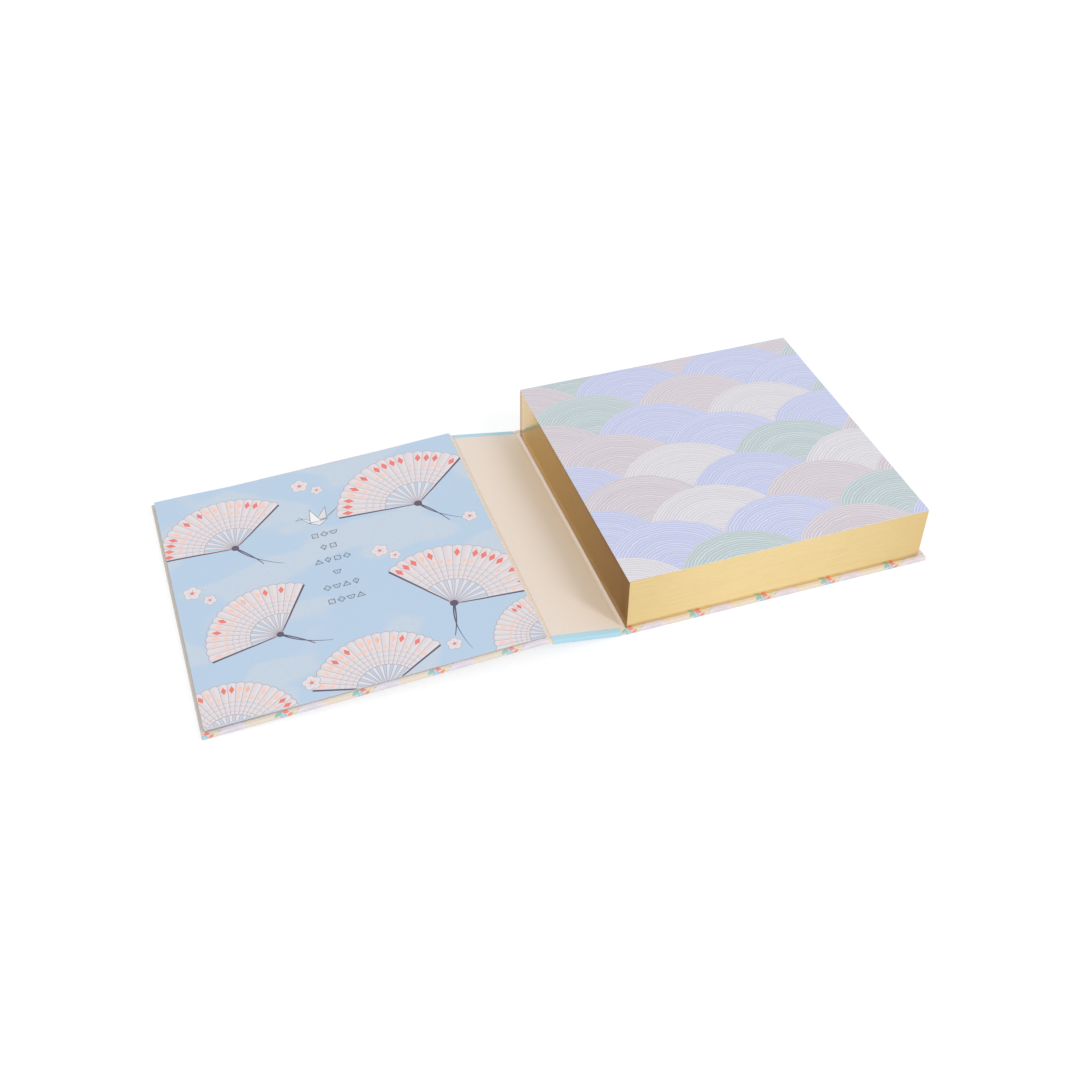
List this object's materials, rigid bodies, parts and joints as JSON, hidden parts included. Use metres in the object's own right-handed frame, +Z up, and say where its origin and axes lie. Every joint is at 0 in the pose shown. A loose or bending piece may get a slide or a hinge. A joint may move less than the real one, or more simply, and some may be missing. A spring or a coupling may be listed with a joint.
{
  "type": "origami paper case",
  "caption": "Book-like hard-cover case lying open, with a booklet inside its front cover and a thick gilt-edged pile of square folding paper on its back cover.",
  "frame": {"origin": "centre of the back cover's underside, on the surface that the case lies on", "axes": "+X from the front cover to the back cover, +Y from the near edges to the far ones, along both hinges, +Z up"},
  "size_m": [0.3445, 0.1562, 0.0312],
  "materials": {
    "greyboard": "matte",
    "cover_paper": "satin print",
    "spine_paper": "satin print",
    "lining_paper": "matte",
    "booklet_paper": "satin print",
    "gilt_sheets": "matte printed sheets with polished gilt edges"
  },
  "bodies": {
    "back_cover": {"back_board": "greyboard", "back_wrap": "cover_paper", "back_liner": "lining_paper", "paper_block": "gilt_sheets"},
    "spine": {"spine_board": "greyboard", "spine_wrap": "spine_paper", "spine_liner": "lining_paper"},
    "front_cover": {"front_board": "greyboard", "front_wrap": "cover_paper", "front_liner": "lining_paper", "booklet": "booklet_paper"}
  },
  "joints": [
    {"name": "back_hinge", "type": "hinge", "parent": "back_cover", "child": "spine", "pos_m": [-0.0796, 0, 0], "axis": [0, 1, 0], "range_deg": [-9.5, 80.5]},
    {"name": "front_hinge", "type": "hinge", "parent": "spine", "child": "front_cover", "pos_m": [-0.11314, 0, 0.00745], "axis": [0, 1, 0], "range_deg": [-10, 102.08]}
  ]
}
